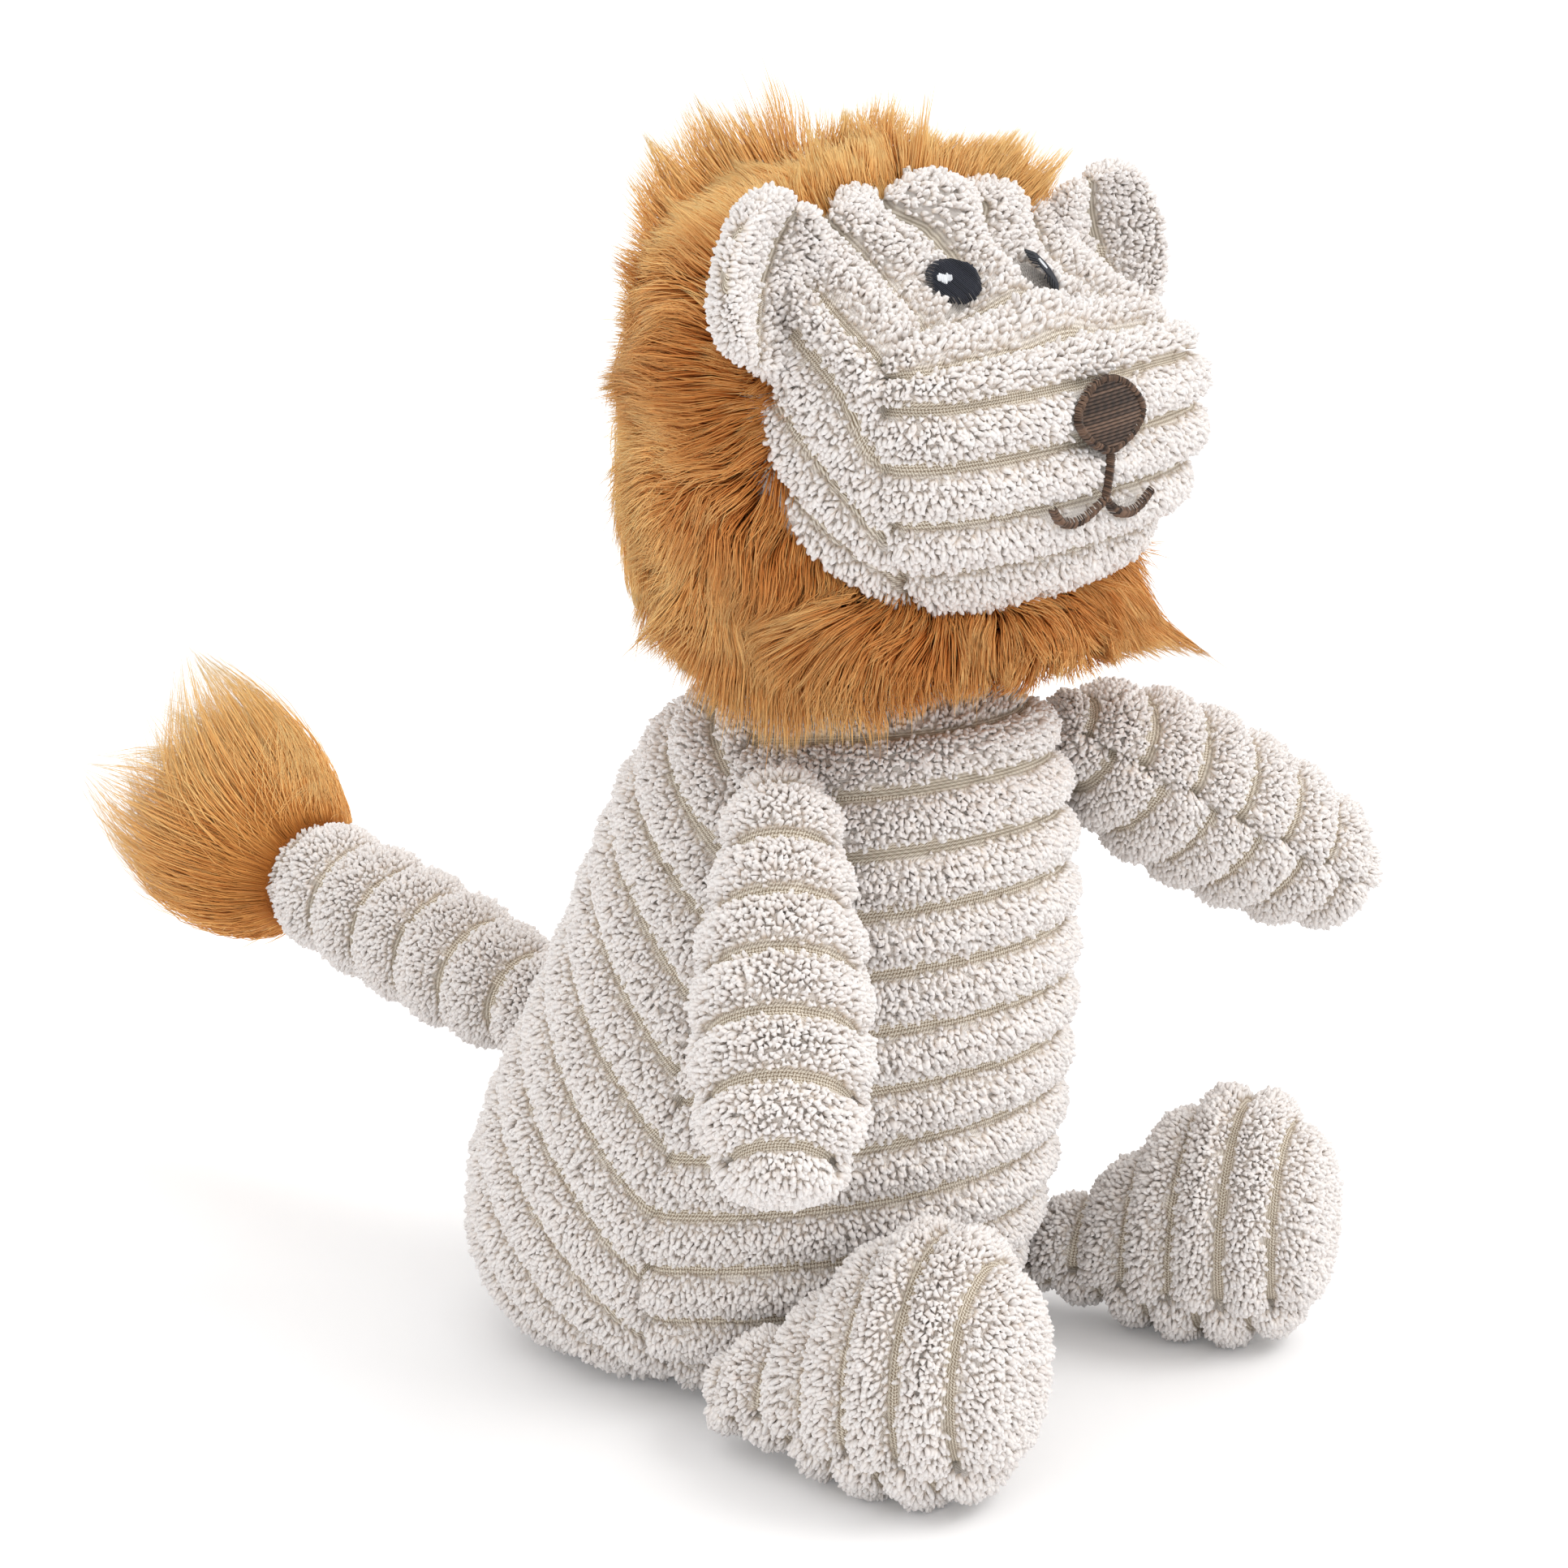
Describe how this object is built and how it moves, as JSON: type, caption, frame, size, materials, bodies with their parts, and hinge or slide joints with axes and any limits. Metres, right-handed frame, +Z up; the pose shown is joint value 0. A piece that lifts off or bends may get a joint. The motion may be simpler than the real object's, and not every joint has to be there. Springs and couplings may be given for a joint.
{
  "type": "plush lion",
  "caption": "Seated plush lion in ribbed cream pile with a ginger mane and tail tuft, turning head, swinging limbs and tail.",
  "frame": {"origin": "centre of the flat seat under the body, on the floor", "axes": "+Z up from the floor, the lion faces -Y, +X to the lion's left"},
  "size_m": [0.1902, 0.2926, 0.239],
  "materials": {
    "plush": "ribbed pile, matt",
    "stuffing": "loose fibre, matt",
    "mane_fur": "long pile, soft sheen",
    "thread_black": "satin stitch",
    "thread_white": "satin stitch",
    "thread_brown": "satin stitch"
  },
  "bodies": {
    "torso": {"body_skin": "plush", "body_stuffing": "stuffing"},
    "head": {"head_skin": "plush", "head_stuffing": "stuffing", "mane": "mane_fur", "ear_right": "plush", "ear_left": "plush", "eye_right": "thread_black", "eye_left": "thread_black", "eye_glint_right": "thread_white", "eye_glint_left": "thread_white", "nose": "thread_brown", "mouth": "thread_brown"},
    "arm_right": {"arm_right_skin": "plush", "arm_right_stuffing": "stuffing"},
    "arm_left": {"arm_left_skin": "plush", "arm_left_stuffing": "stuffing"},
    "leg_right": {"leg_right_skin": "plush", "leg_right_stuffing": "stuffing"},
    "leg_left": {"leg_left_skin": "plush", "leg_left_stuffing": "stuffing"},
    "tail": {"tail_skin": "plush", "tail_stuffing": "stuffing", "tail_tuft": "mane_fur"}
  },
  "joints": [
    {"name": "head_turn", "type": "hinge", "parent": "torso", "child": "head", "pos_m": [0, -0.03094, 0.14015], "axis": [0, 0, 1], "range_deg": [-25, 25], "stiffness_Nm_per_rad": 0.08},
    {"name": "shoulder_right_swing", "type": "hinge", "parent": "torso", "child": "arm_right", "pos_m": [-0.044, -0.046, 0.122], "axis": [-0.6691, 0.7431, 0], "range_deg": [-8, 44], "stiffness_Nm_per_rad": 0.05},
    {"name": "shoulder_left_swing", "type": "hinge", "parent": "torso", "child": "arm_left", "pos_m": [0.044, -0.046, 0.122], "axis": [-0.4695, -0.8829, 0], "range_deg": [-25, 27], "stiffness_Nm_per_rad": 0.05},
    {"name": "hip_right_splay", "type": "hinge", "parent": "torso", "child": "leg_right", "pos_m": [-0.046, -0.04, 0.0125], "axis": [0, 0, -1], "range_deg": [-5, 45], "stiffness_Nm_per_rad": 0.05},
    {"name": "hip_left_splay", "type": "hinge", "parent": "torso", "child": "leg_left", "pos_m": [0.046, -0.04, 0.0125], "axis": [0, 0, 1], "range_deg": [-20, 25], "stiffness_Nm_per_rad": 0.05},
    {"name": "tail_wag", "type": "hinge", "parent": "torso", "child": "tail", "pos_m": [0, 0.0555, 0.0523], "axis": [0, 0, 1], "range_deg": [-35, 35], "stiffness_Nm_per_rad": 0.05}
  ]
}
